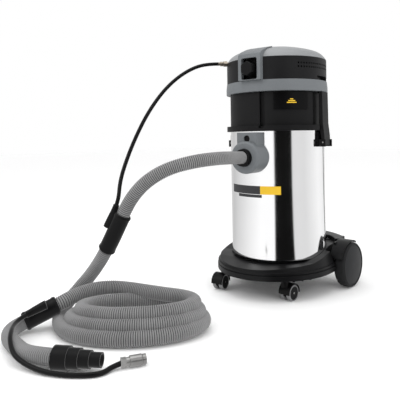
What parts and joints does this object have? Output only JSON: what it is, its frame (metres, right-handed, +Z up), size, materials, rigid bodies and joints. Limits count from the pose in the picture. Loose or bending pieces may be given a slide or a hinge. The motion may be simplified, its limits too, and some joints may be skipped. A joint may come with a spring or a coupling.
{
  "type": "shop vacuum",
  "caption": "Wet and dry dust extractor on a wheeled trolley, with a lift-off motor head, a corrugated suction hose and a compressed-air hose.",
  "frame": {"origin": "on the floor below the tank's axis, at the bottom centre of the machine's box without its hoses", "axes": "+Z up, the hose port and selector face -Y, the rear wheels' axle runs along X"},
  "size_m": [0.5735, 1.1589, 0.8295],
  "materials": {
    "stainless": "polished stainless steel",
    "trolley_plastic": "moulded, semi-matt",
    "grey_plastic": "moulded, satin",
    "light_plastic": "moulded, satin",
    "dark_plastic": "moulded, fine grain",
    "black_plastic": "moulded, fine grain",
    "steel": "nickel plated",
    "motor_metal": "cast",
    "brass": "turned",
    "tyre": "moulded",
    "caster_tread": "moulded",
    "rubber": "moulded",
    "hose_grey": "ribbed, matt",
    "air_hose": "smooth",
    "filter_fabric": "pleated",
    "float_plastic": "blow moulded"
  },
  "bodies": {
    "root": {"tank": "stainless", "trolley": "trolley_plastic", "rear_bumper": "trolley_plastic", "wheel_arches": "trolley_plastic", "axle": "steel", "port_housing": "grey_plastic", "port_sleeve": "dark_plastic", "port_nut": "dark_plastic", "port_screws": "steel", "latch_base_left": "black_plastic", "latch_base_right": "black_plastic", "latch_pins": "steel", "hose_cuff": "rubber", "suction_hose_lead": "hose_grey", "suction_hose_coil": "hose_grey", "suction_hose_tail": "hose_grey", "hose_sleeve_near": "rubber", "hose_sleeve_far": "rubber", "tool_adapter": "rubber", "air_hose_tail": "air_hose", "air_hose_upper": "air_hose", "quick_coupler": "steel"},
    "head": {"head_housing": "dark_plastic", "head_seal": "rubber", "appliance_socket": "black_plastic", "head_band": "grey_plastic", "head_cover": "black_plastic", "head_dome": "light_plastic", "front_frame": "grey_plastic", "selector_panel": "black_plastic", "fan_case": "motor_metal", "motor": "motor_metal", "filter_cartridge": "filter_fabric", "filter_collar": "black_plastic", "filter_plate": "black_plastic", "float_cage": "black_plastic", "cable_gland": "black_plastic", "air_outlet": "brass"},
    "latch_left": {"latch_lever_left": "dark_plastic"},
    "latch_right": {"latch_lever_right": "dark_plastic"},
    "selector": {"selector_knob": "black_plastic"},
    "socket_flap": {"socket_flap": "dark_plastic"},
    "wheel_left": {"tyre_left": "tyre", "rim_left": "black_plastic", "hubcap_left": "dark_plastic"},
    "wheel_right": {"tyre_right": "tyre", "rim_right": "black_plastic", "hubcap_right": "dark_plastic"},
    "caster_left": {"caster_body_left": "black_plastic", "caster_axle_left": "steel"},
    "caster_right": {"caster_body_right": "black_plastic", "caster_axle_right": "steel"},
    "caster_roller_left": {"caster_tyres_left": "caster_tread", "caster_hubs_left": "black_plastic"},
    "caster_roller_right": {"caster_tyres_right": "caster_tread", "caster_hubs_right": "black_plastic"},
    "impeller": {"impeller": "motor_metal"},
    "float": {"float_ball": "float_plastic"},
    "port_button": {"port_button": "black_plastic"},
    "coupler_collar": {"coupler_collar": "steel"}
  },
  "joints": [
    {"name": "head_lift", "type": "slide", "parent": "root", "child": "head", "axis": [0, 0, 1], "range_m": [0, 0.3], "deforming": ["air_hose_upper"]},
    {"name": "latch_left_turn", "type": "hinge", "parent": "root", "child": "latch_left", "pos_m": [-0.17789, -0.00621, 0.496], "axis": [0.0349, -0.9994, 0], "range_deg": [0, 65]},
    {"name": "latch_right_turn", "type": "hinge", "parent": "root", "child": "latch_right", "pos_m": [0.17627, 0.02477, 0.496], "axis": [-0.1392, 0.9903, 0], "range_deg": [0, 65]},
    {"name": "selector_turn", "type": "hinge", "parent": "head", "child": "selector", "pos_m": [0.01482, -0.16935, 0.738], "axis": [0.0872, -0.9962, 0], "range_deg": [-90, 90]},
    {"name": "socket_flap_open", "type": "hinge", "parent": "head", "child": "socket_flap", "pos_m": [0.12387, -0.1058, 0.66], "axis": [-0.6494, -0.7604, 0], "range_deg": [0, 90]},
    {"name": "impeller_spin", "type": "hinge", "parent": "head", "child": "impeller", "pos_m": [0, 0, 0.58], "axis": [0, 0, 1], "continuous": true},
    {"name": "float_rise", "type": "slide", "parent": "head", "child": "float", "axis": [0, 0, 1], "range_m": [0, 0.038]},
    {"name": "port_button_press", "type": "slide", "parent": "root", "child": "port_button", "axis": [-0.0872, 0.9962, 0], "range_m": [0, 0.004], "stiffness_N_per_m": 400},
    {"name": "coupler_collar_slide", "type": "slide", "parent": "root", "child": "coupler_collar", "axis": [-0.4801, -0.8772, 0], "range_m": [0, 0.005], "stiffness_N_per_m": 600},
    {"name": "wheel_left_spin", "type": "hinge", "parent": "root", "child": "wheel_left", "pos_m": [-0.206, 0.117, 0.075], "axis": [1, 0, 0], "continuous": true},
    {"name": "wheel_right_spin", "type": "hinge", "parent": "root", "child": "wheel_right", "pos_m": [0.206, 0.117, 0.075], "axis": [1, 0, 0], "continuous": true},
    {"name": "caster_left_swivel", "type": "hinge", "parent": "root", "child": "caster_left", "pos_m": [-0.121, -0.159, 0.06], "axis": [0, 0, 1], "continuous": true},
    {"name": "caster_left_roll", "type": "hinge", "parent": "caster_left", "child": "caster_roller_left", "pos_m": [-0.11766, -0.18277, 0.025], "axis": [-0.9903, -0.1392, 0], "continuous": true},
    {"name": "caster_right_swivel", "type": "hinge", "parent": "root", "child": "caster_right", "pos_m": [0.121, -0.159, 0.06], "axis": [0, 0, 1], "continuous": true},
    {"name": "caster_right_roll", "type": "hinge", "parent": "caster_right", "child": "caster_roller_right", "pos_m": [0.12267, -0.13506, 0.025], "axis": [0.9976, -0.0698, 0], "continuous": true}
  ]
}
